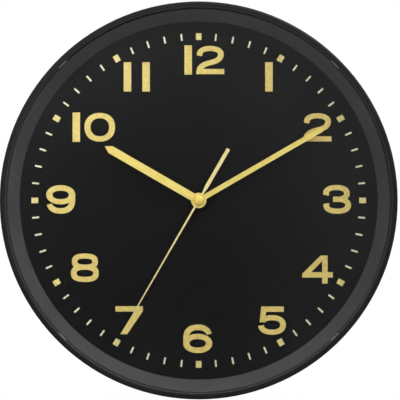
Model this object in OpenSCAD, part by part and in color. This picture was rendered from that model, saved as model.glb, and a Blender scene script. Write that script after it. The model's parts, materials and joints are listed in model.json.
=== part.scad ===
// Round quartz wall clock with its dial, hands, case and geared movement.
// +Z is up and the face looks along -Y. The origin is on the axis of the hands,
// in the plane of the wall. A "level" is a distance from the wall towards the front.

/* [Case] */
// Outside diameter of the bezel
clock_d = 300; // [299.6:0.1:300.4]
// Distance from the wall to the front of the bezel
clock_depth = 43; // [42.8:0.1:43.4]
// Wall thickness of the bezel skirt
bezel_wall = 1.8; // [1.6:0.1:2]
// Width of the bezel lip that holds the glass
lip_w = 4.6; // [4.2:0.1:4.8]
// Thickness of the glass
glass_t = 2.4; // [2:0.1:2.6]
// Slope of the drum behind the flange, as a drop in radius
drum_taper = 6.8; // [6:0.1:7.4]
// Number of screws that join the case to the bezel
screw_count = 6; // [4:1:8]
// Diameter of the keyhole's entry
keyhole_entry_d = 10; // [9:0.5:11]
// Width of the keyhole's slot
keyhole_slot_w = 5; // [4:0.5:6]
// Height of the keyhole's entry above the hand axis
keyhole_z = 96; // [90:1:100]

/* [Dial] */
// Radius where the sloping inner ring meets the dial
dial_window_r = 135.5; // [135:0.1:135.8]
// Thickness of the dial plate
dial_t = 0.8; // [0.6:0.1:1]
// Thickness of the applied numerals and markers
foil_t = 0.3; // [0.2:0.05:0.5]
// Mean radius of the ring of minute markers
marker_r = 124; // [123:0.5:125]
// Radial length of every marker
marker_len = 5.2; // [5:0.1:6]
// Width of an hour marker
hour_marker_w = 4.2; // [4:0.1:5.2]
// Width of a minute marker
minute_marker_w = 1.35; // [1.2:0.05:2]

/* [Hands] */
// Clock angle of the hour hand, clockwise from 12
hour_angle = 300; // [0:1:359]
// Clock angle of the minute hand, clockwise from 12
minute_angle = 60; // [0:1:359]
// Clock angle of the second hand, clockwise from 12
second_angle = 210; // [0:1:359]
// Reach of the hour hand
hour_len = 82; // [70:1:90]
// Width of the hour hand
hour_w = 6; // [5:0.1:7]
// Reach of the minute hand
minute_len = 111; // [100:1:114]
// Width of the minute hand
minute_w = 3.9; // [3.6:0.1:4.8]
// Reach of the second hand
second_len = 94; // [90:1:116]
// Reach of the second hand's counterweight
tail_len = 45; // [35:1:50]
// Width of the second hand's counterweight
tail_w = 2.8; // [2.6:0.1:3.4]
// Diameter of the minute hand's hub disc
hub_d = 11.6; // [11.4:0.1:13]

/* [Movement] */
// Side of the square movement housing
move_w = 56; // [55.8:0.1:56.4]
// Distance from the hand axis to the top of the housing
move_top = 22; // [21.9:0.1:22.2]
// Circumferential play of every gear tooth, as a share of its width
tooth_play = 0.12; // [0.1:0.01:0.18]
// Radial running clearance of the bearings
run_gap = 0.06; // [0.03:0.01:0.08]
// Diameter of the cell
cell_d = 14.5; // [14:0.1:14.5]

/* [Hidden] */
$fn = 96;

// Colours
black_plastic = [0.07, 0.07, 0.075];
grey_ring = [0.25, 0.25, 0.26];
dial_black = [0.1, 0.1, 0.11];
gold = [0.86, 0.74, 0.36];
brass = [0.8, 0.65, 0.3];
steel = [0.72, 0.73, 0.75];
white_plastic = [0.92, 0.92, 0.9];

// Case radii and levels
case_r = clock_d / 2;
skirt_r = case_r - bezel_wall;
lip_r = case_r - lip_w;
skirt_back = 15;
lip_t = 2.4;
glass_front = clock_depth - lip_t;
glass_back = glass_front - glass_t;
seal_t = 0.8;
ring_front = glass_back - seal_t;
seal_in_r = lip_r - 1.2;
clip_len = 7.6;
clip_deep = 0.7;
clip_t = 0.4;
dial_back = 19.2;
dial_front = dial_back + dial_t;
flange_back = 17;
flange_r = skirt_r - 0.2;
dial_r = dial_window_r + 4.6;
drum_r = 138;
drum_back_r = drum_r - drum_taper;
wall_back = 3;
wall_front = 5.4;
screw_r = case_r - 5.1;
screw_hole_d = 2.9;
boss_d = 6.4;
boss_front = 27;
mount_rim_w = 5;

// Keyhole
slot_len = 8;
pocket_w = 22;
pocket_d = 8;

// Movement levels
move_back = 2.2;
move_wall = 1.4;
cover_front = 3.8;
base_back = 16.6;
base_front = 18.2;
plate_back = 11.4;
plate_front = 12.2;
move_bottom = move_top - move_w;
bay_top = move_bottom + 15.5 + 2 * move_wall;
gear_floor = bay_top;
neck_r = 3.95;
neck_front = 24.6;
boss_top = 5.2;
pivot_r = 0.3;
spindle_r = 0.55;
post_r = 2;
spigot_r = 1;

// Hand levels
washer_front = dial_front + 0.4;
nut_front = washer_front + 2.2;
hour_level = 25.4;
minute_level = 28;
second_level = 30.2;
hand_t = 0.45;
hour_pipe_r = 2.5;
minute_pipe_r = 1.75;
second_arbor_r = 0.5;
cap_r = 3.7;

// Gear train: centre distances, and directions seen from the front
int_at = polar(10.5, 160);
rotor_at = int_at + polar(6, 218);
third_at = polar(10.2, 75);
minute_at = polar(12, 0);
knob_dir = -50;
knob_at = minute_at + polar(12, knob_dir);
low_post_z = gear_floor + post_r + 0.25;
posts = [[23.9, 17.2], [23.9, low_post_z], [-15, 16], [-15, low_post_z]];

// Levels of the wheels
int_level = 5.6;
seconds_level = 7.2;
third_level = 8.6;
centre_level = 10;
motion_level = 12.6;
hour_wheel_level = 14.8;
wheel_t = 0.8;

// Coil and stator
coil_x = -22.6;
coil_level = 8.6;
core_half = 11.2;
winding_half = 8.6;
winding_r = 3.1;
bobbin_r = 2.2;
stator_level = 9.2;
magnet_r = 2.8;

// Cell and contacts
cell_r = cell_d / 2;
cell_z = (move_bottom + bay_top) / 2;
cell_level = base_back - cell_r - 0.2;
cell_start = -25.9;
cell_len = 50.5;
strip_t = 0.3;
bay_x = move_w / 2 - move_wall;
strip_level = 5.4;

// ---------------------------------------------------------------- helpers

function polar(r, a) = [r * cos(a), r * sin(a)];

// An elliptical arc from angle t0 to t1
function arc(c, a, b, t0, t1, n = 24) =
    [for (i = [0:n]) let (t = t0 + (t1 - t0) * i / n) c + [a * cos(t), b * sin(t)]];

function signed_pow(v, e) = sign(v) * pow(abs(v), e);

// Point of a superellipse: power 2 is an ellipse, more is squarer
function super(a, b, t, power) = [a * signed_pow(cos(t), 2 / power), b * signed_pow(sin(t), 2 / power)];

// A superellipse arc from angle t0 to t1
function bowl(c, a, b, t0, t1, power = 2.3, n = 30) =
    [for (i = [0:n]) c + super(a, b, t0 + (t1 - t0) * i / n, power)];

function bezier(p0, p1, p2, p3, n = 16) =
    [for (i = [0:n]) let (t = i / n, s = 1 - t)
        s * s * s * p0 + 3 * s * s * t * p1 + 3 * s * t * t * p2 + t * t * t * p3];

// A closed superellipse
function oval(a, b, power = 2.2, k = 56) = [for (i = [0:k - 1]) super(a, b, 360 * i / k, power)];

// Moves the children so that their local z axis runs forward from a level
module at(level, p = [0, 0]) translate([p.x, -level, p.y]) rotate([90, 0, 0]) children();

module disc(level, t, r, p = [0, 0]) at(level, p) cylinder(r = r, h = t);

// Revolves an outline of [radius, level] points about the hand axis
module turned(points, p = [0, 0]) at(0, p) rotate_extrude($fn = 180) polygon(points);

// Turns the children to a clock angle about the hand axis
module clock(a) rotate([0, a, 0]) children();

// ------------------------------------------------------------------ gears

// Angle by which a cycloidal flank leans over at height h above the pitch circle
function lean(pitch_r, roll_r, h) =
    let (sum = pitch_r + roll_r,
         c = (sum * sum + roll_r * roll_r - (pitch_r + h) * (pitch_r + h)) / (2 * sum * roll_r),
         a = roll_r / pitch_r * acos(c),
         b = sum / roll_r * a)
    atan2(sum * sin(a) - roll_r * sin(b), sum * cos(a) - roll_r * cos(b));

// Outline of a cycloidal gear: radial flanks below the pitch circle, rolled above it
function gear_points(teeth, mod, mate, add, ded) =
    let (r = mod * teeth / 2,
         half = 90 / teeth * (1 - tooth_play),
         tip = half - lean(r, mod * mate / 4, add * mod),
         mid = half - lean(r, mod * mate / 4, add * mod / 2))
    [for (i = [0:teeth - 1]) let (c = 360 * i / teeth) each [
        polar(r - ded * mod, c - half), polar(r, c - half),
        polar(r + add * mod / 2, c - mid), polar(r + add * mod, c - tip),
        polar(r + add * mod, c + tip), polar(r + add * mod / 2, c + mid),
        polar(r, c + half), polar(r - ded * mod, c + half)]];

module wheel_2d(teeth, mod, mate, phase) rotate(phase)
    polygon(gear_points(teeth, mod, mate, 0.85, 0.85));

module pinion_2d(teeth, mod, mate, phase) rotate(phase)
    polygon(gear_points(teeth, mod, mate, 0.5, 1.15));

// Phase of the driven gear, so that a gap of it faces a tooth of the first gear
function mesh_phase(direction, phase, teeth, mate) =
    direction + 180 - 180 / mate + (direction - phase) * teeth / mate;

// Lightening holes of a wheel
module spokes_2d(hub, rim, n = 5) difference() {
    circle(r = rim);
    circle(r = hub);
    for (i = [0:n - 1]) rotate(i * 360 / n) translate([0, -0.6]) square([rim + 1, 1.2]);
}

// Straight stretches of an arbor: [radius, from level, to level]
module arbor(steps, p = [0, 0])
    for (s = steps) disc(s[1], s[2] - s[1], s[0], p);

// --------------------------------------------------------------- numerals

stroke_v = 4.35;
stroke_h = 3.9;

function tangent(p, i) =
    let (d = p[min(i + 1, len(p) - 1)] - p[max(i - 1, 0)]) d / norm(d);

// Half width of a stroke: upright stretches are a little heavier than level ones
function half_stroke(t) = (stroke_v + (stroke_h - stroke_v) * t.x * t.x) / 2;

function stroke_side(p, side) =
    [for (i = [0:len(p) - 1]) let (t = tangent(p, i)) p[i] + side * half_stroke(t) * [-t.y, t.x]];

function reversed(p) = [for (i = [len(p) - 1:-1:0]) p[i]];

module stroke(p) polygon(concat(stroke_side(p, 1), reversed(stroke_side(p, -1))));

module numeral_0() difference() {
    polygon(oval(11.6, 10.85));
    polygon(oval(7.05, 6.8));
}

module numeral_1() square([5.7, 22.2], center = true);

// Slanting end of a curved stroke on the left, above the middle of the figure
module terminal_cut() polygon([[-13, 4.15], [-4.8, 2.35], [-4.8, 0.2], [-13, 0.2]]);

// The curved stroke runs into the foot, whose top edge is at foot_y
module numeral_2() difference() {
    foot_y = -6.8;
    path = concat(bowl([0.05, 4.35], 8.05, 4.35, 205, 6, 2.1),
                  bezier([8.1, 4.35], [8.1, 0.4], [4.4, -1.1], [0, -2.1]),
                  bezier([-0.6, -2.24], [-4.6, -3.2], [-8.4, -5], [-8.7, -9.6]));
    polygon(concat([for (q = stroke_side(path, 1)) if (q.y > foot_y) q],
                   [[-3.9, foot_y], [10.65, foot_y], [10.65, -10.75], [-10.65, -10.75]],
                   [for (q = reversed(stroke_side(path, -1))) if (q.y > foot_y) q]));
    terminal_cut();
}

module numeral_3() difference() {
    union() {
        stroke(concat(bowl([-0.5, 4.5], 7.9, 4.5, 208, -90), [[-3, 0.1]]));
        stroke(concat([[-3, 0.1]], bowl([0.1, -4.4], 8.3, 4.55, 90, -206)));
    }
    terminal_cut();
    mirror([0, 1]) terminal_cut();
}

module numeral_4() difference() {
    polygon([[-11.6, -6.05], [-11.6, -3.15], [2.5, 10.6], [7.7, 10.6], [7.7, -1.95],
             [11.6, -1.95], [11.6, -6.05], [7.7, -6.05], [7.7, -10.6], [3.5, -10.6],
             [3.5, -6.05]]);
    polygon([[3.5, 6.4], [3.5, -1.95], [-4.8, -1.95]]);
}

module numeral_5() {
    polygon([[-8, 10.7], [9, 10.7], [9, 6.6], [-4.35, 6.6], [-5.1, 1.5], [-5.8, -1.15],
             [-9.35, -1.3]]);
    stroke(bowl([0.1, -3.3], 8.3, 5.45, 152, -177));
}

module numeral_6() difference() {
    union() {
        difference() {
            polygon(oval(11, 10.8, 2.4));
            translate([0.2, 0]) polygon(oval(7.05, 6.6, 2.4));
            polygon([[5.8, 2.8], [12, 4.4], [12, -3.5], [0, -3.5]]);
        }
        translate([0, -3.5]) polygon(oval(11, 7.3, 2.05));
    }
    translate([0, -3.4]) polygon(oval(6.2, 3.15));
}

module numeral_7() polygon([[-10.4, 10.6], [10.4, 10.6], [10.4, 6.9], [-1.5, -10.6],
                            [-6.7, -10.6], [3.8, 6.55], [-10.4, 6.55]]);

module numeral_8() difference() {
    union() {
        translate([0, 4.65]) polygon(oval(9.85, 6.15, 2.5));
        translate([0, -4.2]) polygon(oval(10.55, 6.6, 2.5));
    }
    translate([0, 4.65]) polygon(oval(5.65, 2.25, 2.5));
    translate([0, -4.2]) polygon(oval(6.3, 2.65, 2.5));
}

module numeral(n) {
    if (n == 0) numeral_0();
    if (n == 1) numeral_1();
    if (n == 2) numeral_2();
    if (n == 3) numeral_3();
    if (n == 4) numeral_4();
    if (n == 5) numeral_5();
    if (n == 6) numeral_6();
    if (n == 7) numeral_7();
    if (n == 8) numeral_8();
    if (n == 9) rotate(180) numeral_6();
}

// Every figure on the dial: [figure, x, z]
figures = [
    [1, -7.95, 106.3], [2, 8.7, 106.3], [1, 53.2, 93.5], [2, 89.8, 55.4], [3, 104.7, 0.8],
    [4, 89.9, -52.3], [5, 55.4, -90.9], [6, -0.7, -104.7], [7, -52.6, -90.6],
    [8, -86.1, -50.9], [9, -104.4, 0.8], [1, -92.6, 55.4], [0, -74.8, 55.4],
    [1, -53.9, 93.5], [1, -39.8, 93.5]
];

module hour_numerals() color(gold)
    for (f = figures) at(dial_front, [f[1], f[2]]) linear_extrude(foil_t) numeral(f[0]);

module marker(w) at(dial_front) linear_extrude(foil_t)
    translate([-w / 2, marker_r - marker_len / 2]) square([w, marker_len]);

module hour_markers() color(gold)
    for (i = [0:11]) clock(30 * i) marker(hour_marker_w);

module minute_markers() color(gold)
    for (i = [0:59]) if (i % 5 != 0) clock(6 * i) marker(minute_marker_w);

// ------------------------------------------------------------------- case

screw_angles = [for (i = [0:screw_count - 1]) 30 + 360 * i / screw_count];
clip_angles = [45, 135, 225, 315];

module front_bezel() color(black_plastic) difference() {
    union() {
        turned(concat(
            [[skirt_r, skirt_back], [case_r - 0.8, skirt_back], [case_r, skirt_back + 0.8]],
            arc([case_r - 1.9, clock_depth - 2.1], 1.9, 1.9, 0, 90, 8),
            arc([lip_r + 0.8, clock_depth - 0.8], 0.8, 0.8, 90, 180, 6),
            [[lip_r, glass_front], [skirt_r, glass_front]]));
        for (a = screw_angles) clock(a) {
            disc(dial_back, boss_front - dial_back, boss_d / 2, [0, screw_r]);
            at(dial_back) linear_extrude(boss_front - dial_back)
                translate([-boss_d / 4, screw_r]) square([boss_d / 2, skirt_r - screw_r + 0.6]);
        }
    }
    for (a = screw_angles) clock(a)
        disc(dial_back - 1, boss_front - dial_back, screw_hole_d / 2, [0, screw_r]);
    for (a = clip_angles) clock(a) at(glass_front - 1) linear_extrude(2.8)
        translate([-clip_len / 2, lip_r - 2]) square([clip_len, clip_deep + 2]);
}

// Four spring angles in notches of the lip, which press on the glass
module lens_clips() color(steel)
    for (a = clip_angles) clock(a) {
        at(glass_front) linear_extrude(clip_t)
            translate([-clip_len / 2, lip_r - clip_deep]) square([clip_len, 2 * clip_deep]);
        at(glass_front) linear_extrude(1.8)
            translate([-clip_len / 2, lip_r + clip_deep - clip_t]) square([clip_len, clip_t]);
    }

module lens() color([0.85, 0.9, 0.9, 0.2]) disc(glass_back, glass_t, skirt_r - 0.2);

module lens_seal() color([0.15, 0.15, 0.15])
    turned([[seal_in_r, ring_front], [skirt_r - 0.4, ring_front],
            [skirt_r - 0.4, glass_back], [seal_in_r, glass_back]]);

// Sloping ring between the dial and the glass
module inner_ring() color(grey_ring)
    turned(concat(
        [[dial_window_r + 2.6, dial_front], [dial_window_r, dial_front]],
        arc([dial_window_r + 1.3, dial_front + 0.2], 1.3, 1.3, 180, 126, 4),
        [[seal_in_r, ring_front], [skirt_r - 0.4, ring_front],
         [skirt_r - 0.4, ring_front - 1.4], [seal_in_r + 1.1, ring_front - 1.4],
         [dial_window_r + 2.6, dial_front + 0.8]]));

module dial() color(dial_black) difference() {
    disc(dial_back, dial_t, dial_r);
    disc(dial_back - 1, dial_t + 2, neck_r + 0.1);
}

module keyhole_2d() {
    translate([0, keyhole_z]) circle(d = keyhole_entry_d);
    translate([0, keyhole_z + slot_len]) circle(d = keyhole_slot_w);
    translate([-keyhole_slot_w / 2, keyhole_z]) square([keyhole_slot_w, slot_len]);
}

// Square window in the back wall, and the guide frame round it
module window_2d(grow) translate([-move_w / 2 - grow, move_bottom - grow])
    square(move_w + 2 * grow);

module case_body() color(black_plastic) difference() {
    union() {
        turned([[0, wall_back], [drum_back_r - mount_rim_w, wall_back],
                [drum_back_r - mount_rim_w, 0], [drum_back_r - 0.8, 0], [drum_back_r, 0.8],
                [drum_r, flange_back], [flange_r, flange_back], [flange_r, dial_back],
                [drum_r - 2.4, dial_back], [drum_back_r - 0.8, wall_front], [0, wall_front]]);
        // Guide frame round the movement
        at(wall_back) linear_extrude(11) window_2d(3);
        // Pocket behind the keyhole
        at(wall_back) linear_extrude(pocket_d + wall_front - wall_back)
            translate([-pocket_w / 2, keyhole_z - 9]) square([pocket_w, 26]);
        // Stiffening ribs, with room left for the pocket
        for (i = [1:11]) clock(30 * i) at(wall_front - 0.5)
            linear_extrude(4.5) translate([-0.9, 50]) square([1.8, drum_back_r - 51.5]);
        at(wall_front - 0.5) linear_extrude(3.5) difference() {
            circle(r = 86);
            circle(r = 84.2);
        }
    }
    at(wall_back - 1) linear_extrude(16) window_2d(0.6);
    at(wall_back - 1) linear_extrude(3 + wall_front - wall_back) keyhole_2d();
    at(wall_front) linear_extrude(pocket_d - 1.6)
        translate([-pocket_w / 2 + 1.6, keyhole_z - 7.4]) square([pocket_w - 3.2, 22.8]);
    for (a = screw_angles) clock(a) disc(flange_back - 1, 5, screw_hole_d / 2 + 0.2, [0, screw_r]);
}

module screw() difference() {
    union() {
        at(0) rotate_extrude() polygon(concat(
            [[0, flange_back], [0, flange_back - 1.9]],
            arc([1.5, flange_back - 0.8], 1.3, 1.1, -90, 0, 5), [[2.8, flange_back]]));
        disc(flange_back, 8, screw_hole_d / 2);
    }
    for (a = [0, 90]) at(flange_back - 2) rotate(a) translate([-1.6, -0.35]) cube([3.2, 0.7, 1.1]);
}

module case_screws() color(steel)
    for (a = screw_angles) clock(a) translate([0, 0, screw_r]) screw();

// --------------------------------------------------------------- movement

module housing_2d(grow = 0) translate([-move_w / 2 - grow, move_bottom - grow])
    square(move_w + 2 * grow);

module housing() difference() {
    union() {
        at(move_back) linear_extrude(base_front - move_back) housing_2d();
        disc(base_front, neck_front - base_front, neck_r);
    }
    // Gear room
    at(move_back - 1) linear_extrude(base_back - move_back + 1)
        translate([-bay_x, gear_floor]) square([2 * bay_x, move_top - move_wall - gear_floor]);
    // Seat of the cover
    at(move_back - 1) linear_extrude(cover_front - move_back + 1)
        translate([-move_w / 2 - 1, gear_floor - move_wall])
            square([move_w + 2, move_top - gear_floor + move_wall + 1]);
    // Cell bay
    at(move_back - 1) linear_extrude(base_back - move_back + 1)
        translate([-bay_x, move_bottom + move_wall]) square([2 * bay_x, 15.5]);
    // Slots for the contact strips
    for (s = [-1, 1]) at(strip_level - 0.2) linear_extrude(2.4)
        translate([s * (bay_x - 0.3) - 0.3, gear_floor - move_wall - 1])
            square([0.6, move_wall + 2]);
    disc(base_front - 3, neck_front, hour_pipe_r + run_gap);
    disc(base_back - 1, 2, 0.5 + run_gap, minute_at);
    disc(base_back - 1, 2, 0.5 + run_gap, knob_at);
}

module movement_base() color([0.12, 0.12, 0.13]) {
    housing();
    for (p = posts) {
        disc(plate_front, base_back - plate_front, post_r, p);
        disc(9, plate_front - 9, spigot_r, p);
    }
}

module movement_cover() color(white_plastic) difference() {
    union() {
        at(move_back) linear_extrude(cover_front - move_back)
            translate([-move_w / 2, gear_floor - move_wall])
                square([move_w, move_top - gear_floor + move_wall]);
        for (p = posts) disc(cover_front - 0.1, plate_back - cover_front + 0.1, post_r, p);
        for (p = [rotor_at, int_at, [0, 0], third_at])
            disc(cover_front - 0.1, boss_top - cover_front + 0.1, 1.3, p);
        disc(cover_front - 0.1, boss_top - cover_front + 0.1, 6.2, knob_at);
        // Ledges that carry the circuit board
        for (x = [-25.8, -11]) at(cover_front - 0.1) linear_extrude(0.7)
            translate([x, 10.2]) square([1.6, 9]);
    }
    for (p = posts) disc(8.6, 4, spigot_r + 0.04, p);
    for (p = [rotor_at, int_at, [0, 0], third_at])
        disc(cover_front - 0.6, 3, pivot_r + run_gap, p);
    disc(move_back - 1, 2.8, 5.2, knob_at);
    disc(move_back, 5, 1.5 + run_gap, knob_at);
}

module middle_plate() color([0.85, 0.86, 0.84]) difference() {
    at(plate_back) linear_extrude(plate_front - plate_back)
        translate([-18.4, -15.3]) square([44.4, 35.4]);
    for (p = posts) disc(plate_back - 1, 3, spigot_r + 0.04, p);
    for (p = [rotor_at, int_at, third_at]) disc(plate_back - 1, 3, pivot_r + run_gap, p);
    disc(plate_back - 1, 3, minute_pipe_r + run_gap);
    disc(plate_back - 1, 3, 0.5 + run_gap, minute_at);
    disc(plate_back - 1, 3, 3.9, knob_at);
}

module rubber_washer() color([0.1, 0.1, 0.1]) difference() {
    disc(base_front, dial_back - base_front, 9);
    disc(base_front - 1, 3, neck_r + 0.1);
}

module dial_washer() color(brass) difference() {
    disc(dial_front, washer_front - dial_front, 5.7);
    disc(dial_front - 1, 3, neck_r + 0.1);
}

module centre_nut() color(brass) difference() {
    at(washer_front) cylinder(d = 11.4, h = nut_front - washer_front, $fn = 6);
    disc(washer_front - 1, 5, neck_r + 0.04);
}

// ------------------------------------------------------------------ hands

module hand_2d(len, w, point) polygon([[-w / 2, 0], [w / 2, 0], [w / 2, len - point],
                                       [0, len], [-w / 2, len - point]]);

module bush(level, seat_r, bore_r, flange_r) difference() {
    union() {
        disc(level - 0.4, hand_t + 0.8, seat_r);
        disc(level + hand_t, 0.4, flange_r);
    }
    disc(level - 2, 5, bore_r);
}

module hour_hand() color(gold) clock(hour_angle) difference() {
    at(hour_level) linear_extrude(hand_t) {
        hand_2d(hour_len, hour_w, 5);
        circle(r = 5.6);
    }
    disc(hour_level - 1, 3, 3.2);
}

module hour_hand_bush() color(brass) bush(hour_level, 3.2, hour_pipe_r, 4);

module minute_hand() color(gold) clock(minute_angle) difference() {
    at(minute_level) linear_extrude(hand_t) {
        hand_2d(minute_len, minute_w, 4);
        circle(d = hub_d);
    }
    disc(minute_level - 1, 3, 2.6);
}

module minute_hand_bush() color(brass) bush(minute_level, 2.6, minute_pipe_r, 3.2);

module second_hand() color(gold) clock(second_angle) difference() {
    at(second_level) linear_extrude(hand_t) {
        circle(r = 3);
        polygon([[-0.75, 0], [0.75, 0], [0.45, second_len], [-0.45, second_len]]);
        polygon([[-0.75, 0], [-0.75, -7], [-tail_w / 2, -12], [-tail_w / 2, -tail_len],
                 [tail_w / 2, -tail_len], [tail_w / 2, -12], [0.75, -7], [0.75, 0]]);
    }
    disc(second_level - 1, 3, 1.2);
}

module second_hand_tube() color(brass) difference() {
    disc(second_level - 0.4, 1.8, 1.2);
    disc(second_level - 1, 4, second_arbor_r);
}

module second_hand_cap() color(gold) difference() {
    turned(concat([[0, second_level + hand_t], [cap_r, second_level + hand_t]],
                  arc([0, second_level + hand_t + 0.5], cap_r, 0.9, 0, 90, 10)));
    disc(second_level + hand_t - 1, 2, 1.2);
}

// ------------------------------------------------------------- gear train

module seconds_arbor() color(steel) arbor([
    [pivot_r, 4, boss_top + 0.1], [second_arbor_r, boss_top + 0.1, 31.2]]);

module seconds_wheel() color(white_plastic) difference() {
    union() {
        at(seconds_level) linear_extrude(wheel_t) difference() {
            wheel_2d(60, 0.3, 10, 0);
            spokes_2d(2.4, 7.4);
        }
        at(seconds_level + wheel_t) linear_extrude(1.6) pinion_2d(8, 0.3, 60, 0);
        disc(seconds_level - 0.8, 0.8, 1.2);
    }
    disc(seconds_level - 2, 6, second_arbor_r);
}

module third_wheel() color(white_plastic) {
    at(third_level, third_at) linear_extrude(wheel_t) difference() {
        wheel_2d(60, 0.3, 8, mesh_phase(75, 0, 8, 60));
        spokes_2d(2.4, 7.4);
    }
    at(third_level + wheel_t, third_at) linear_extrude(1.6) pinion_2d(8, 0.85 / 3, 64, 0);
    arbor([[pivot_r, 4, boss_top + 0.1], [spindle_r, boss_top + 0.1, 11.2],
           [pivot_r, 11.2, 12.1]], third_at);
}

module centre_wheel() color(brass) difference() {
    at(centre_level) linear_extrude(wheel_t) difference() {
        wheel_2d(64, 0.85 / 3, 8, mesh_phase(255, 0, 8, 64));
        spokes_2d(3, 7.4, 4);
    }
    disc(centre_level - 1, 3, minute_pipe_r);
}

// Tube that carries the minute hand, with the cannon pinion
module minute_arbor() color(brass) difference() {
    union() {
        disc(9.8, 19.8, minute_pipe_r);
        at(plate_front + 0.2) linear_extrude(1.4) pinion_2d(12, 0.5, 36, 0);
    }
    disc(9, 22, second_arbor_r + run_gap);
}

minute_phase = mesh_phase(0, 0, 12, 36);

module minute_wheel() color(white_plastic) {
    at(motion_level, minute_at) linear_extrude(1) difference() {
        wheel_2d(36, 0.5, 12, minute_phase);
        spokes_2d(3.2, 7, 4);
    }
    at(motion_level + 1, minute_at) linear_extrude(2.6) pinion_2d(12, 0.4, 48, 0);
    arbor([[0.5, 11.5, motion_level], [0.5, 16.2, 17.4]], minute_at);
}

module hour_wheel() color(brass) difference() {
    union() {
        at(hour_wheel_level) linear_extrude(1.2)
            wheel_2d(48, 0.4, 12, mesh_phase(180, 0, 12, 48));
        disc(hour_wheel_level, 12.6, hour_pipe_r);
    }
    disc(hour_wheel_level - 1, 16, minute_pipe_r + 0.08);
    for (i = [0:5]) disc(hour_wheel_level - 1, 4, 1.7, polar(5.9, 60 * i));
}

module intermediate_wheel() color(white_plastic) {
    at(int_level, int_at) linear_extrude(0.6) wheel_2d(40, 0.25, 8, 0);
    at(int_level + 0.6, int_at) linear_extrude(2)
        pinion_2d(10, 0.3, 60, mesh_phase(160, 0, 60, 10));
    arbor([[pivot_r, 4, boss_top + 0.1], [spindle_r, boss_top + 0.1, 11.2],
           [pivot_r, 11.2, 12.1]], int_at);
}

module rotor() color(white_plastic) {
    at(int_level - 0.1, rotor_at) linear_extrude(0.8)
        pinion_2d(8, 0.25, 40, mesh_phase(218, 0, 40, 8));
    arbor([[pivot_r, 4, boss_top + 0.1], [spindle_r, boss_top + 0.1, 11.2],
           [pivot_r, 11.2, 12.1]], rotor_at);
}

module rotor_magnet() color([0.35, 0.35, 0.37]) difference() {
    disc(8.2, 2.6, magnet_r, rotor_at);
    disc(8, 4, spindle_r, rotor_at);
}

// ---------------------------------------------------------- motor, circuit

module stator() color(steel) difference() {
    at(stator_level) linear_extrude(wheel_t) difference() {
        union() {
            translate([-18.6, -core_half]) square([8.6, 2 * core_half]);
            for (z = [-core_half, core_half - 1.9])
                translate([coil_x - 1.4, z]) square([8, 1.9]);
        }
        for (s = [-1, 1]) translate(rotor_at + [0, s * 3.4]) circle(r = 0.5);
        translate(int_at) circle(r = 1.4);
    }
    disc(stator_level - 1, 3, magnet_r + 0.4, rotor_at);
}

module coil_core() color([0.6, 0.6, 0.62]) at(coil_level - 0.6) linear_extrude(1.2)
    translate([coil_x - 1.2, -core_half]) square([2.4, 2 * core_half]);

// Moves the children so that their local z axis runs up the coil
module along_coil(z) translate([coil_x, -coil_level, z]) children();

module coil_bobbin() color([0.9, 0.88, 0.8]) difference() {
    union() {
        along_coil(-winding_half) cylinder(r = bobbin_r, h = 2 * winding_half);
        for (z = [-winding_half - 0.6, winding_half]) along_coil(z) cylinder(r = 3.5, h = 0.6);
    }
    along_coil(0) cube([2.4, 1.2, 30], center = true);
}

module coil_winding() color([0.72, 0.38, 0.2]) difference() {
    along_coil(-winding_half) cylinder(r = winding_r, h = 2 * winding_half);
    along_coil(-winding_half - 1) cylinder(r = bobbin_r, h = 2 * winding_half + 2);
}

module circuit_board() color([0.1, 0.35, 0.2]) difference() {
    at(4.4) linear_extrude(1) translate([-26, 10]) square([16.8, 9.4]);
    disc(4, 2, post_r + 0.3, posts[2]);
}

module quartz_crystal() color(steel) {
    translate([-24.8, -6.9, 17.6]) rotate([0, 90, 0]) cylinder(r = 1.5, h = 6);
    for (s = [-1, 1]) translate([-18.8, -6.9 + s * 0.5, 17.6])
        rotate([0, 90, 0]) cylinder(r = 0.2, h = 1);
}

module driver_chip() color([0.05, 0.05, 0.05])
    turned(concat([[0, 5.4]], arc([0, 5.4], 2.2, 0.9, 0, 90, 6)), [-21, 12.8]);

module setting_knob() color(black_plastic) difference() {
    union() {
        at(0.6, knob_at) linear_extrude(2.8) difference() {
            circle(r = 4.8);
            for (i = [0:23]) rotate(15 * i) translate([4.95, 0]) circle(r = 0.4);
        }
        disc(3.4, motion_level - 3.4, 1.5, knob_at);
        at(motion_level, knob_at) linear_extrude(1)
            pinion_2d(12, 0.5, 36, mesh_phase(knob_dir, minute_phase, 36, 12));
        disc(motion_level + 1, 3.8, 0.5, knob_at);
    }
    at(0, knob_at) translate([-0.5, -3]) cube([1, 6, 1.4]);
}

module contact_pad(x) at(cell_level - 5) linear_extrude(10)
    translate([x, cell_z - 5]) square([strip_t, 10]);

module positive_contact() color(steel) {
    contact_pad(-bay_x);
    at(strip_level) linear_extrude(2)
        translate([-bay_x, cell_z]) square([strip_t, 12 - cell_z]);
    at(strip_level) linear_extrude(strip_t)
        translate([-bay_x, 10.6]) square([2.2, 1.4]);
}

module negative_contact() color(steel) {
    contact_pad(bay_x - strip_t);
    // Bowed leaf that presses on the flat end of the cell
    at(cell_level - 2) linear_extrude(4) polygon(concat(
        arc([bay_x - 0.1, cell_z], 1.85, 4.6, 90, 270, 16),
        arc([bay_x - 0.1, cell_z], 1.55, 4.3, 270, 90, 16)));
    at(strip_level) linear_extrude(2)
        translate([bay_x - strip_t, cell_z]) square([strip_t, move_top - move_wall - cell_z]);
    at(strip_level) linear_extrude(2)
        translate([-11, move_top - move_wall - strip_t]) square([bay_x + 11, strip_t]);
    at(strip_level) linear_extrude(strip_t)
        translate([-11, 18]) square([1.6, move_top - move_wall - 18]);
}

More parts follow.
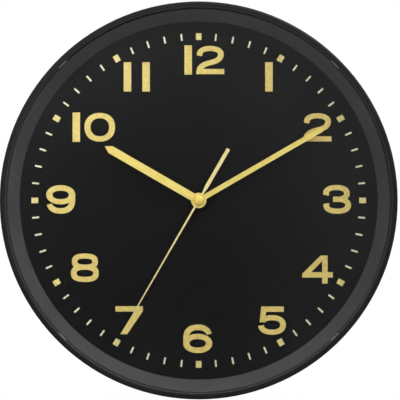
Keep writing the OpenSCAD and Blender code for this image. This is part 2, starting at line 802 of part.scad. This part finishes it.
module battery() color([0.2, 0.45, 0.3]) translate([cell_start, -cell_level, cell_z])
    rotate([0, 90, 0]) {
        cylinder(d = 5.5, h = 1.5);
        translate([0, 0, 1]) cylinder(r = cell_r, h = cell_len - 1);
    }

front_bezel();
lens();
lens_clips();
lens_seal();
inner_ring();
dial();
hour_numerals();
hour_markers();
minute_markers();
case_body();
case_screws();
movement_base();
movement_cover();
middle_plate();
rubber_washer();
dial_washer();
centre_nut();
hour_hand();
hour_hand_bush();
minute_hand();
minute_hand_bush();
second_hand();
second_hand_tube();
second_hand_cap();
seconds_arbor();
seconds_wheel();
third_wheel();
centre_wheel();
minute_arbor();
minute_wheel();
hour_wheel();
intermediate_wheel();
rotor();
rotor_magnet();
stator();
coil_core();
coil_bobbin();
coil_winding();
circuit_board();
quartz_crystal();
driver_chip();
setting_knob();
positive_contact();
negative_contact();
battery();
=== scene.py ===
"""Round wall clock: looks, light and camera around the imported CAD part."""

import json
import math

import bmesh
import bpy
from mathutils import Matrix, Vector

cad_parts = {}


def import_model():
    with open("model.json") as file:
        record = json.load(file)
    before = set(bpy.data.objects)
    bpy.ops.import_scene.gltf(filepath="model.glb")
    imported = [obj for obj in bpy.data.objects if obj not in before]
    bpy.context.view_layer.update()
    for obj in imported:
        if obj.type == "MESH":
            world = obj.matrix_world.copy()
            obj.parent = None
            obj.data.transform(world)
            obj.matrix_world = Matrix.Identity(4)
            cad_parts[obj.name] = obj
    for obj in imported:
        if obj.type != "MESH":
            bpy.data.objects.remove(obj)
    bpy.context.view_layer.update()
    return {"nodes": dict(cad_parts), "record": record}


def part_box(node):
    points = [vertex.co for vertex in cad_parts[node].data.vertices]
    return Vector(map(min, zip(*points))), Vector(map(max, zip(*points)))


# Lengths are in metres
MM = 0.001

# Camera: far away and level, as in a catalogue picture, with the clock filling all but a margin.
# The shifts are shares of the picture's width
CAMERA_DISTANCE = 5.0
CAMERA_RANGE = 50.0
FRAME_MARGIN = 1.3 * MM
SENSOR_WIDTH = 36.0
SHIFT_X = 0.0033
SHIFT_Y = 0.0011

# Floor well under the clock, which hangs. It runs out into white between the two fade radii
FLOOR_DROP = 210 * MM
FLOOR_RADIUS = 4.0
FLOOR_SIDES = 96
FLOOR_FADE_START = 0.7
FLOOR_FADE_END = 2.6

# Shares of the floor's brightness taken away through the glass, and further in its mirror image
GLASS_DIMMING = 0.35
MIRROR_DIMMING = 0.4

# The room as a light source: a pale tent with a dark opening for the camera, brighter overhead.
# The opening's centre is a direction seen from the clock, and its radius is taken on the unit sphere
TENT_LIGHT = 0.275
OPENING_LIGHT = 0.005
OPENING_RADIUS = 0.047
OPENING_CENTRE = (-0.005, -1.0, -0.0126)
OVERHEAD_LIGHT = 0.5
OVERHEAD_START = 0.1
OVERHEAD_FULL = 0.9

# Satin face of the rim, from the outside in to where the fillet of the lip takes over, whose paler grey
# is a painted highlight
RIM_FACE_WIDTH = 4.15 * MM
RIM_FACE_FADE = 0.4 * MM

# Dark and light tones of the gold pieces: numerals, hour markers, minute markers, the two broad
# hands, the second hand and its cap
FOIL_GOLD = ((0.74, 0.53, 0.13), (0.95, 0.77, 0.27))
SOFT_GOLD = ((0.77, 0.60, 0.19), (0.98, 0.86, 0.39))
CHAMPAGNE = ((0.90, 0.84, 0.50), (0.98, 0.95, 0.74))
HAND_GOLD = ((0.90, 0.67, 0.15), (0.97, 0.82, 0.29))
PALE_GOLD = ((0.94, 0.77, 0.30), (1.0, 0.90, 0.48))
DEEP_GOLD = ((0.78, 0.54, 0.12), (0.92, 0.70, 0.19))

# The cap over the hands is rougher than they are by this much
CAP_DULLNESS = 0.2

# Bands of the coil's wire, and the radians that the wave texture runs through per unit of its scale
WIRE_BAND = 0.754 * MM
WAVE_RADIANS = 20

# Printed wrap of the cell, along its length: bare ends, one pale band and soft edges between them
BARE_LOW_END = 2.2 * MM
BARE_HIGH_END = 1.0 * MM
BAND_START = 13 * MM
BAND_WIDTH = 5.1 * MM
PRINT_EDGE = 0.1 * MM

# Edge rounding: what is welded first, how fine the round is, and which corners count as edges
WELD_DISTANCE = 0.002 * MM
EDGE_SEGMENTS = 2
EDGE_ANGLE = math.radians(35)

# Edge radius of the nodes whose edges show
EDGES = {
    "front_bezel": 0.12 * MM,
    "lens_clips": 0.06 * MM,
    "hour_numerals": 0.07 * MM,
    "hour_markers": 0.07 * MM,
    "minute_markers": 0.07 * MM,
    "hour_hand": 0.10 * MM,
    "minute_hand": 0.10 * MM,
    "second_hand": 0.10 * MM,
    "case_screws": 0.10 * MM,
    "movement_cover": 0.25 * MM,
    "setting_knob": 0.15 * MM,
    "battery": 0.30 * MM,
    "positive_contact": 0.04 * MM,
    "negative_contact": 0.04 * MM,
}

# The range in which most of a noise's values lie
NOISE_LOW = 0.3
NOISE_HIGH = 0.7

# Sockets of the Mix node in its colour mode, whose names are not unique
MIX_SHARE = 0
MIX_FIRST = 6
MIX_SECOND = 7
MIX_RESULT = 2

# Socket names of the Principled shader, by the short names used here
SOCKETS = {
    "colour": "Base Color",
    "rough": "Roughness",
    "metal": "Metallic",
    "ior": "IOR",
    "specular": "Specular IOR Level",
    "coat": "Coat Weight",
    "coat_rough": "Coat Roughness",
    "transmission": "Transmission Weight",
}


def rgb(r, g, b):
    return (r, g, b, 1.0)


def grey(v):
    return (v, v, v, 1.0)


# ------------------------------------------------------------- node helpers


class Nodes:
    """An empty node tree, with short names for the nodes that this script uses."""

    def __init__(self, tree):
        self.tree = tree
        tree.nodes.clear()

    def add(self, kind):
        return self.tree.nodes.new(kind)

    def link(self, source, target):
        self.tree.links.new(source, target)

    def feed(self, target, value):
        """Links a socket, or sets a plain value."""
        if isinstance(value, bpy.types.NodeSocket):
            self.link(value, target)
        else:
            target.default_value = value

    def math(self, operation, a, b):
        node = self.add("ShaderNodeMath")
        node.operation = operation
        self.feed(node.inputs[0], a)
        self.feed(node.inputs[1], b)
        return node.outputs["Value"]

    def plus(self, a, b, share):
        """Value a, plus a share of b."""
        return self.math("ADD", a, self.math("MULTIPLY", b, share))

    def span(self, value, low, high, to_low=0.0, to_high=1.0, kind="SMOOTHSTEP"):
        """Maps low..high to to_low..to_high, clamped."""
        node = self.add("ShaderNodeMapRange")
        node.interpolation_type = kind
        self.feed(node.inputs["Value"], value)
        node.inputs["From Min"].default_value = low
        node.inputs["From Max"].default_value = high
        node.inputs["To Min"].default_value = to_low
        node.inputs["To Max"].default_value = to_high
        return node.outputs["Result"]

    def vary(self, noise, to_low, to_high):
        """Maps the common values of a noise to to_low..to_high."""
        return self.span(noise, NOISE_LOW, NOISE_HIGH, to_low, to_high)

    def mix(self, share, first, second):
        """Shader first where share is 0 and second where it is 1."""
        node = self.add("ShaderNodeMixShader")
        self.feed(node.inputs["Fac"], share)
        self.link(first, node.inputs[1])
        self.link(second, node.inputs[2])
        return node.outputs["Shader"]


class Shader(Nodes):
    """One procedural material."""

    def __init__(self, name):
        self.material = bpy.data.materials.new(name)
        self.material.use_nodes = True
        super().__init__(self.material.node_tree)
        self.output = self.add("ShaderNodeOutputMaterial")
        self.surface = self.add("ShaderNodeBsdfPrincipled")
        self.link(self.surface.outputs["BSDF"], self.output.inputs["Surface"])
        self.coords = self.add("ShaderNodeTexCoord").outputs["Object"]

    def set(self, **values):
        for key, value in values.items():
            self.feed(self.surface.inputs[SOCKETS[key]], value)

    def mapped(self, scale=(1, 1, 1), turn=(0, 0, 0), vector=None):
        node = self.add("ShaderNodeMapping")
        node.inputs["Scale"].default_value = scale
        node.inputs["Rotation"].default_value = turn
        self.link(vector or self.coords, node.inputs["Vector"])
        return node.outputs["Vector"]

    def noise(self, size, detail, rough, vector=None, distortion=0.0):
        """Noise whose features are about size metres across."""
        node = self.add("ShaderNodeTexNoise")
        node.inputs["Scale"].default_value = 1.0 / size
        node.inputs["Detail"].default_value = detail
        node.inputs["Roughness"].default_value = rough
        node.inputs["Distortion"].default_value = distortion
        self.link(vector or self.coords, node.inputs["Vector"])
        return node.outputs["Fac"]

    def cells(self, size, feature="F1"):
        """Distances in a pattern of cells about size metres across."""
        node = self.add("ShaderNodeTexVoronoi")
        node.feature = feature
        node.inputs["Scale"].default_value = 1.0 / size
        self.link(self.coords, node.inputs["Vector"])
        return node.outputs["Distance"]

    def radius(self, across=(1, 0, 1)):
        """Distance from the axis of the hands, or from the axis square to two other directions."""
        flat = self.add("ShaderNodeVectorMath")
        flat.operation = "MULTIPLY"
        flat.inputs[1].default_value = across
        self.link(self.coords, flat.inputs[0])
        length = self.add("ShaderNodeVectorMath")
        length.operation = "LENGTH"
        self.link(flat.outputs["Vector"], length.inputs[0])
        return length.outputs["Value"]

    def between(self, value, start, stop, edge):
        """One between start and stop and zero outside, with soft edges inside the stretch."""
        rise = self.span(value, start, start + edge)
        fall = self.span(value, stop - edge, stop, 1.0, 0.0)
        return self.math("MULTIPLY", rise, fall)

    def blend(self, share, a, b):
        """Colour a where share is 0 and b where it is 1."""
        node = self.add("ShaderNodeMix")
        node.data_type = "RGBA"
        self.feed(node.inputs[MIX_SHARE], share)
        self.feed(node.inputs[MIX_FIRST], a)
        self.feed(node.inputs[MIX_SECOND], b)
        return node.outputs[MIX_RESULT]

    def bump(self, height, depth):
        """Bump whose full height is depth metres."""
        node = self.add("ShaderNodeBump")
        node.inputs["Strength"].default_value = 1.0
        node.inputs["Distance"].default_value = depth
        self.link(height, node.inputs["Height"])
        return node.outputs["Normal"]

    def finish(self, normal):
        self.link(normal, self.surface.inputs["Normal"])
        return self.material


# ---------------------------------------------------------------- materials


def moulding(s, grain):
    """Tone, wear and fine grain of a moulded surface with handled patches and faint flow marks."""
    patches = s.noise(40 * MM, detail=4.0, rough=0.6)
    fine = s.noise(grain, detail=2.0, rough=0.6)
    flow = s.noise(6 * MM, detail=3.0, rough=0.5, vector=s.mapped(scale=(1, 1, 4)))
    tone = s.span(s.plus(patches, flow, 0.5), 0.55, 0.95)
    wear = s.plus(patches, fine, 0.3)
    return tone, wear, fine


def moulded_plastic(name, dark, light, rough, grain, grain_depth):
    """Moulded plastic between two tones, with a grain of a given size and depth."""
    s = Shader(name)
    tone, wear, fine = moulding(s, grain)
    s.set(colour=s.blend(tone, dark, light))
    s.set(rough=s.span(wear, 0.4, 0.9, rough - 0.05, rough + 0.08))
    return s.finish(s.bump(fine, grain_depth))


def black_rim():
    """Satin moulded rim whose fillet, next to the glass, carries a painted highlight: a paler grey in
    its colour.
    """
    s = Shader("black_rim")
    _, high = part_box("front_bezel")
    painted_highlight_radius = high.x - RIM_FACE_WIDTH
    face = s.span(s.radius(), painted_highlight_radius, painted_highlight_radius + RIM_FACE_FADE)
    tone, wear, fine = moulding(s, 0.35 * MM)
    satin = s.blend(tone, grey(0.0062), grey(0.0084))
    # Painted highlight: the fillet of the lip gets a paler grey than the satin face, in place of the
    # light its rounded edge catches
    s.set(colour=s.blend(face, grey(0.032), satin))
    s.set(rough=s.span(wear, 0.4, 0.9, 0.41, 0.54))
    s.set(specular=0.2)
    return s.finish(s.bump(fine, depth=0.006 * MM))


def case_black():
    """Spark-eroded texture on the back shell."""
    s = Shader("case_black")
    patches = s.noise(60 * MM, detail=4.0, rough=0.6)
    pits = s.cells(0.55 * MM)
    fine = s.noise(0.25 * MM, detail=2.0, rough=0.6)
    s.set(colour=s.blend(s.span(patches, 0.35, 0.7), grey(0.014), grey(0.022)))
    s.set(rough=s.vary(patches, 0.52, 0.66))
    return s.finish(s.bump(s.plus(s.span(pits, 0.0, 0.7), fine, 0.6), depth=0.03 * MM))


def dial_black():
    """Sprayed satin black on sheet metal, with a trace of orange peel."""
    s = Shader("dial_black")
    peel = s.noise(1.1 * MM, detail=2.0, rough=0.5)
    cloud = s.noise(70 * MM, detail=3.0, rough=0.5)
    speck = s.noise(0.18 * MM, detail=1.0, rough=0.5)
    s.set(colour=s.blend(s.vary(cloud, 0.0, 1.0), grey(0.0058), grey(0.0074)))
    s.set(rough=s.vary(speck, 0.24, 0.29))
    s.set(specular=0.08)
    return s.finish(s.bump(peel, depth=0.003 * MM))


def grey_ring():
    """Fine matt grey paint on the sloping ring."""
    s = Shader("grey_ring")
    speck = s.noise(0.3 * MM, detail=2.0, rough=0.6)
    cloud = s.noise(35 * MM, detail=3.0, rough=0.5)
    tone = s.span(s.plus(cloud, speck, 0.4), 0.4, 1.0)
    s.set(colour=s.blend(tone, rgb(0.048, 0.048, 0.0497), rgb(0.062, 0.062, 0.0642)))
    s.set(rough=s.vary(speck, 0.50, 0.62))
    s.set(specular=0.3)
    return s.finish(s.bump(speck, depth=0.008 * MM))


def gold_foil(name, dark, light):
    """Hot-stamped gold foil: mottled, with a short vertical brushing under a soft clear coat."""
    s = Shader(name)
    mottle = s.noise(1.6 * MM, detail=4.0, rough=0.65)
    brush = s.noise(0.35 * MM, detail=3.0, rough=0.6, vector=s.mapped(scale=(1, 1, 0.12)))
    broad = s.noise(30 * MM, detail=2.0, rough=0.5)
    tone = s.plus(s.math("MULTIPLY", mottle, 0.6), brush, 0.4)
    gold = s.blend(s.span(tone, 0.35, 0.65), rgb(*dark), rgb(*light))
    s.set(colour=s.blend(s.span(broad, 0.35, 0.65, 0.0, 0.3), gold, rgb(*light)))
    s.set(metal=1.0, coat=0.8, coat_rough=0.30)
    s.set(rough=s.vary(tone, 0.33, 0.42))
    return s.finish(s.bump(tone, depth=0.012 * MM))


def hand_angle(node):
    """Clock angle of a hand, from the corner of its box that lies farthest out."""
    low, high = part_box(node)
    x = low.x if abs(low.x) > abs(high.x) else high.x
    z = low.z if abs(low.z) > abs(high.z) else high.z
    return math.atan2(x, z)


def gold_hand(name, clock_angle, dark, light, dullness=0.0):
    """Anodised aluminium brushed along the hand."""
    s = Shader(name)
    along = s.mapped(turn=(0, -clock_angle, 0))
    brush = s.noise(0.22 * MM, detail=3.0, rough=0.6, vector=s.mapped(scale=(1, 1, 0.03), vector=along))
    mottle = s.noise(2.2 * MM, detail=3.0, rough=0.6, vector=s.mapped(scale=(1, 1, 0.4), vector=along))
    tone = s.plus(s.math("MULTIPLY", brush, 0.7), mottle, 0.3)
    s.set(colour=s.blend(s.span(tone, 0.35, 0.65), rgb(*dark), rgb(*light)))
    s.set(metal=1.0)
    s.set(rough=s.vary(tone, 0.35 + dullness, 0.45 + dullness))
    return s.finish(s.bump(tone, depth=0.010 * MM))


def clear_glass():
    """Flat window glass. Light from the lamps passes straight through it."""
    s = Shader("glass")
    smear = s.noise(45 * MM, detail=4.0, rough=0.6, distortion=0.6)
    s.set(colour=rgb(0.985, 0.995, 0.99), transmission=1.0, ior=1.45)
    s.set(rough=s.span(smear, 0.45, 0.8, 0.0, 0.02))
    through = s.add("ShaderNodeBsdfTransparent")
    through.inputs["Color"].default_value = rgb(0.97, 0.98, 0.975)
    path = s.add("ShaderNodeLightPath")
    glass = s.mix(path.outputs["Is Shadow Ray"], s.surface.outputs["BSDF"], through.outputs["BSDF"])
    s.link(glass, s.output.inputs["Surface"])
    return s.finish(s.bump(s.noise(60 * MM, detail=1.0, rough=0.4), depth=0.002 * MM))


def metal(name, dark, light, rough, grain=(1, 1, 1)):
    """Machined or pressed metal with a directional grain and faint stains."""
    s = Shader(name)
    lines = s.noise(0.3 * MM, detail=3.0, rough=0.6, vector=s.mapped(scale=grain))
    stain = s.noise(5 * MM, detail=4.0, rough=0.6)
    worn = s.math("ADD", lines, stain)
    s.set(colour=s.blend(s.span(worn, 0.75, 1.25), dark, light))
    s.set(metal=1.0)
    s.set(rough=s.span(worn, 0.7, 1.3, rough - 0.06, rough + 0.08))
    return s.finish(s.bump(lines, depth=0.004 * MM))


def rubber(name, tone):
    """Open-pored rubber with dust on it."""
    s = Shader(name)
    pores = s.cells(0.5 * MM)
    dust = s.noise(8 * MM, detail=4.0, rough=0.65)
    s.set(colour=s.blend(s.span(dust, 0.45, 0.8), grey(tone), grey(tone * 1.8)))
    s.set(rough=s.vary(dust, 0.7, 0.85))
    return s.finish(s.bump(pores, depth=0.03 * MM))


def copper_winding():
    """Enamelled wire laid side by side round the bobbin, in bands of a few turns."""
    s = Shader("copper")
    wave = s.add("ShaderNodeTexWave")
    wave.wave_type = "BANDS"
    wave.bands_direction = "Z"
    wave.inputs["Scale"].default_value = 2 * math.pi / (WAVE_RADIANS * WIRE_BAND)
    wave.inputs["Distortion"].default_value = 0.3
    s.link(s.coords, wave.inputs["Vector"])
    tone = s.noise(1.2 * MM, detail=3.0, rough=0.6)
    s.set(colour=s.blend(tone, rgb(0.50, 0.20, 0.08), rgb(0.72, 0.36, 0.16)))
    s.set(metal=1.0, rough=s.vary(tone, 0.28, 0.4))
    return s.finish(s.bump(wave.outputs["Fac"], depth=0.05 * MM))


def circuit_board():
    """Green solder mask with raised tracks and bare pads."""
    s = Shader("board_green")
    track = s.span(s.cells(2.4 * MM, "DISTANCE_TO_EDGE"), 0.10, 0.14, 1.0, 0.0)
    pads = s.span(s.cells(1.9 * MM), 0.22, 0.25, 1.0, 0.0)
    mask = s.blend(track, rgb(0.012, 0.075, 0.035), rgb(0.03, 0.16, 0.07))
    s.set(colour=s.blend(pads, mask, rgb(0.72, 0.70, 0.66)))
    s.set(metal=pads, rough=s.vary(s.noise(1 * MM, detail=3.0, rough=0.55), 0.3, 0.45))
    return s.finish(s.bump(s.math("MAXIMUM", track, pads), depth=0.035 * MM))


def cell_wrap(low, high):
    """Printed wrap on a steel can: bare ends, one pale band, no lettering."""
    s = Shader("cell_wrap")
    split = s.add("ShaderNodeSeparateXYZ")
    s.link(s.coords, split.inputs["Vector"])
    x = split.outputs["X"]
    wrap = s.between(x, low.x + BARE_LOW_END, high.x - BARE_HIGH_END, PRINT_EDGE)
    band_at = low.x + BAND_START
    band = s.between(x, band_at, band_at + BAND_WIDTH, PRINT_EDGE)
    scuff = s.noise(2.5 * MM, detail=5.0, rough=0.7)
    blue = s.blend(s.span(scuff, 0.5, 0.75), rgb(0.020, 0.075, 0.17), rgb(0.045, 0.12, 0.23))
    printed = s.blend(band, blue, rgb(0.62, 0.63, 0.62))
    s.set(colour=s.blend(wrap, rgb(0.62, 0.62, 0.63), printed))
    s.set(metal=s.span(wrap, 0.0, 1.0, 1.0, 0.15))
    s.set(rough=s.span(scuff, 0.35, 0.7, 0.22, 0.38))
    return s.finish(s.bump(s.plus(wrap, scuff, 0.1), depth=0.08 * MM))


def light_plastic(name, dark, light, rough):
    """Unpainted pale moulding, faintly clouded."""
    s = Shader(name)
    cloud = s.noise(9 * MM, detail=4.0, rough=0.6)
    fine = s.noise(0.3 * MM, detail=2.0, rough=0.6)
    s.set(colour=s.blend(s.span(cloud, 0.35, 0.7), dark, light))
    s.set(rough=s.vary(cloud, rough - 0.06, rough + 0.08))
    return s.finish(s.bump(fine, depth=0.008 * MM))


def make_materials():
    """Every material slot of the record, by name."""
    brass_tones = rgb(0.52, 0.38, 0.13), rgb(0.74, 0.57, 0.24)
    bobbin_tones = rgb(0.60, 0.56, 0.44), rgb(0.70, 0.67, 0.56)
    cover_tones = rgb(0.60, 0.60, 0.58), rgb(0.65, 0.65, 0.62)
    contact_tones = grey(0.50), rgb(0.68, 0.66, 0.60)
    return {
        "black_rim": black_rim(),
        "glass": clear_glass(),
        "clip_steel": metal("clip_steel", grey(0.30), grey(0.42), rough=0.42),
        "seal": rubber("seal", tone=0.058),
        "grey_ring": grey_ring(),
        "dial_black": dial_black(),
        "gold_foil": gold_foil("gold_foil", *FOIL_GOLD),
        "case_black": case_black(),
        "screw_steel": metal("screw_steel", grey(0.42), grey(0.62), rough=0.34),
        "movement_black": moulded_plastic(
            "movement_black",
            grey(0.016),
            grey(0.024),
            rough=0.45,
            grain=0.3 * MM,
            grain_depth=0.012 * MM,
        ),
        "cover_white": light_plastic("cover_white", *cover_tones, rough=0.42),
        "rubber": rubber("rubber", tone=0.016),
        "brass": metal("brass", *brass_tones, rough=0.30, grain=(1, 6, 1)),
        "gear_white": light_plastic("gear_white", grey(0.68), rgb(0.80, 0.80, 0.76), rough=0.38),
        "steel": metal("steel", grey(0.48), grey(0.66), rough=0.24, grain=(1, 5, 1)),
        "ferrite": metal("ferrite", grey(0.07), grey(0.13), rough=0.55),
        "laminate": metal("laminate", grey(0.36), grey(0.52), rough=0.40, grain=(6, 1, 1)),
        "bobbin_plastic": light_plastic("bobbin_plastic", *bobbin_tones, rough=0.45),
        "copper": copper_winding(),
        "board_green": circuit_board(),
        "can_metal": metal("can_metal", grey(0.50), grey(0.66), rough=0.26, grain=(0.3, 1, 1)),
        "epoxy": moulded_plastic(
            "epoxy",
            grey(0.008),
            grey(0.014),
            rough=0.22,
            grain=0.8 * MM,
            grain_depth=0.02 * MM,
        ),
        "contact_metal": metal("contact_metal", *contact_tones, rough=0.22, grain=(1, 1, 5)),
        "cell_wrap": cell_wrap(*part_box("battery")),
    }


def give_materials(frame):
    """Gives each node its slot's material, or its own where its brushing or its tone differs."""
    made = make_materials()
    own = {
        "hour_hand": gold_hand("gold_hour", hand_angle("hour_hand"), *HAND_GOLD),
        "minute_hand": gold_hand("gold_minute", hand_angle("minute_hand"), *HAND_GOLD),
        "second_hand": gold_hand("gold_second", hand_angle("second_hand"), *PALE_GOLD),
        "second_hand_cap": gold_hand("gold_cap", 0.0, *DEEP_GOLD, dullness=CAP_DULLNESS),
        "hour_markers": gold_foil("gold_blocks", *SOFT_GOLD),
        "minute_markers": gold_foil("gold_marks", *CHAMPAGNE),
    }
    for row in frame["record"]["subparts"]:
        node, slot = row["node"], row["material_slot"]
        mesh = frame["nodes"][node].data
        mesh.materials.clear()
        mesh.materials.append(own.get(node) or made[slot])


# ------------------------------------------------------------ edge rounding


def round_edges(frame):
    """Rounds the edges that catch the light, after welding the vertices that lie together."""
    for node, radius in EDGES.items():
        o = frame["nodes"][node]
        weld = o.modifiers.new("weld", "WELD")
        weld.merge_threshold = WELD_DISTANCE
        bevel = o.modifiers.new("edges", "BEVEL")
        bevel.width = radius
        bevel.segments = EDGE_SEGMENTS
        bevel.limit_method = "ANGLE"
        bevel.angle_limit = EDGE_ANGLE
        bevel.use_clamp_overlap = True
        bevel.harden_normals = True


# ------------------------------------------------------------ stage, lights


def floor_paper():
    """White paper with a soft end, whose mirror image in the glass stays dim."""
    s = Shader("floor_paper")
    fibre = s.noise(3 * MM, detail=3.0, rough=0.6)
    s.set(colour=s.blend(s.vary(fibre, 0.0, 1.0), grey(0.84), grey(0.88)), rough=0.8)
    path = s.add("ShaderNodeLightPath")
    dark = s.add("ShaderNodeBsdfDiffuse")
    dark.inputs["Color"].default_value = grey(0.02)
    mirror = s.math("MULTIPLY", path.outputs["Is Reflection Ray"], MIRROR_DIMMING)
    dimming = s.math("ADD", mirror, GLASS_DIMMING)
    dimmed_share = s.math("MULTIPLY", path.outputs["Is Glossy Ray"], dimming)
    dimmed = s.mix(dimmed_share, s.surface.outputs["BSDF"], dark.outputs["BSDF"])
    white = s.add("ShaderNodeEmission")
    white.inputs["Color"].default_value = grey(1.0)
    fade = s.span(s.radius(across=(1, 1, 0)), FLOOR_FADE_START, FLOOR_FADE_END)
    faded_share = s.math("MULTIPLY", path.outputs["Is Camera Ray"], fade)
    s.link(s.mix(faded_share, dimmed, white.outputs["Emission"]), s.output.inputs["Surface"])
    return s.finish(s.bump(fibre, depth=0.05 * MM))


def make_floor():
    """A round sheet of paper below the clock."""
    low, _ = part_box("front_bezel")
    mesh = bpy.data.meshes.new("floor")
    bm = bmesh.new()
    bmesh.ops.create_circle(bm, cap_ends=True, segments=FLOOR_SIDES, radius=FLOOR_RADIUS)
    bmesh.ops.translate(bm, verts=bm.verts, vec=(0, 0, low.z - FLOOR_DROP))
    bm.to_mesh(mesh)
    bm.free()
    floor = bpy.data.objects.new("floor", mesh)
    bpy.context.scene.collection.objects.link(floor)
    mesh.materials.append(floor_paper())


def white_background(w):
    background = w.add("ShaderNodeBackground")
    background.inputs["Color"].default_value = grey(1.0)
    return background


def make_world():
    """White to the eye, and a dim tent, brighter overhead, to every other ray."""
    world = bpy.data.worlds.new("studio")
    world.use_nodes = True
    bpy.context.scene.world = world
    w = Nodes(world.node_tree)
    coords = w.add("ShaderNodeTexCoord").outputs["Generated"]
    split = w.add("ShaderNodeSeparateXYZ")
    w.link(coords, split.inputs["Vector"])
    away = w.add("ShaderNodeVectorMath")
    away.operation = "DISTANCE"
    away.inputs[1].default_value = OPENING_CENTRE
    w.link(coords, away.inputs[0])
    off = w.span(away.outputs["Value"], 0.0, OPENING_RADIUS, kind="LINEAR")
    tent = w.span(w.math("MULTIPLY", off, off), 0.0, 1.0, OPENING_LIGHT, TENT_LIGHT, "LINEAR")
    overhead = w.span(split.outputs["Z"], OVERHEAD_START, OVERHEAD_FULL, 0.0, OVERHEAD_LIGHT)
    room = white_background(w)
    w.link(w.math("ADD", tent, overhead), room.inputs["Strength"])
    white = white_background(w)
    path = w.add("ShaderNodeLightPath")
    seen = w.mix(path.outputs["Is Camera Ray"], room.outputs["Background"], white.outputs["Background"])
    w.link(seen, w.add("ShaderNodeOutputWorld").inputs["Surface"])


def soft_light(name, azimuth, elevation, distance, size, power):
    """A square softbox aimed at the clock, placed by azimuth and elevation."""
    a, e = math.radians(azimuth), math.radians(elevation)
    away = Vector((math.sin(a) * math.cos(e), -math.cos(a) * math.cos(e), math.sin(e)))
    light = bpy.data.lights.new(name, "AREA")
    light.shape = "SQUARE"
    light.size = size
    light.energy = power
    o = bpy.data.objects.new(name, light)
    o.location = away * distance
    o.rotation_euler = (-away).to_track_quat("-Z", "Y").to_euler()
    o.visible_camera = False
    bpy.context.scene.collection.objects.link(o)


def make_lights():
    soft_light("key", azimuth=-18, elevation=16, distance=1.6, size=0.6, power=4.6)
    soft_light("fill", azimuth=40, elevation=48, distance=1.7, size=0.9, power=18.5)
    soft_light("back_left", azimuth=150, elevation=30, distance=1.8, size=1.0, power=15)
    soft_light("back_right", azimuth=-140, elevation=20, distance=1.8, size=1.0, power=8)


def make_camera():
    """Looks along the axis of the hands at the front of the rim, which the picture just holds."""
    low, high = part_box("front_bezel")
    target = Vector((0.0, low.y, (low.z + high.z) / 2))
    data = bpy.data.cameras.new("camera")
    data.sensor_width = SENSOR_WIDTH
    data.lens = SENSOR_WIDTH * CAMERA_DISTANCE / (high.x - low.x + FRAME_MARGIN)
    data.shift_x = SHIFT_X
    data.shift_y = SHIFT_Y
    data.clip_end = CAMERA_RANGE
    camera = bpy.data.objects.new("camera", data)
    back = Vector((0, -1, 0))
    camera.location = target + back * CAMERA_DISTANCE
    camera.rotation_euler = (-back).to_track_quat("-Z", "Y").to_euler()
    bpy.context.scene.collection.objects.link(camera)
    bpy.context.scene.camera = camera


def main():
    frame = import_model()
    bpy.context.scene.view_settings.view_transform = "Standard"
    make_camera()
    give_materials(frame)
    round_edges(frame)
    make_floor()
    make_world()
    make_lights()


main()
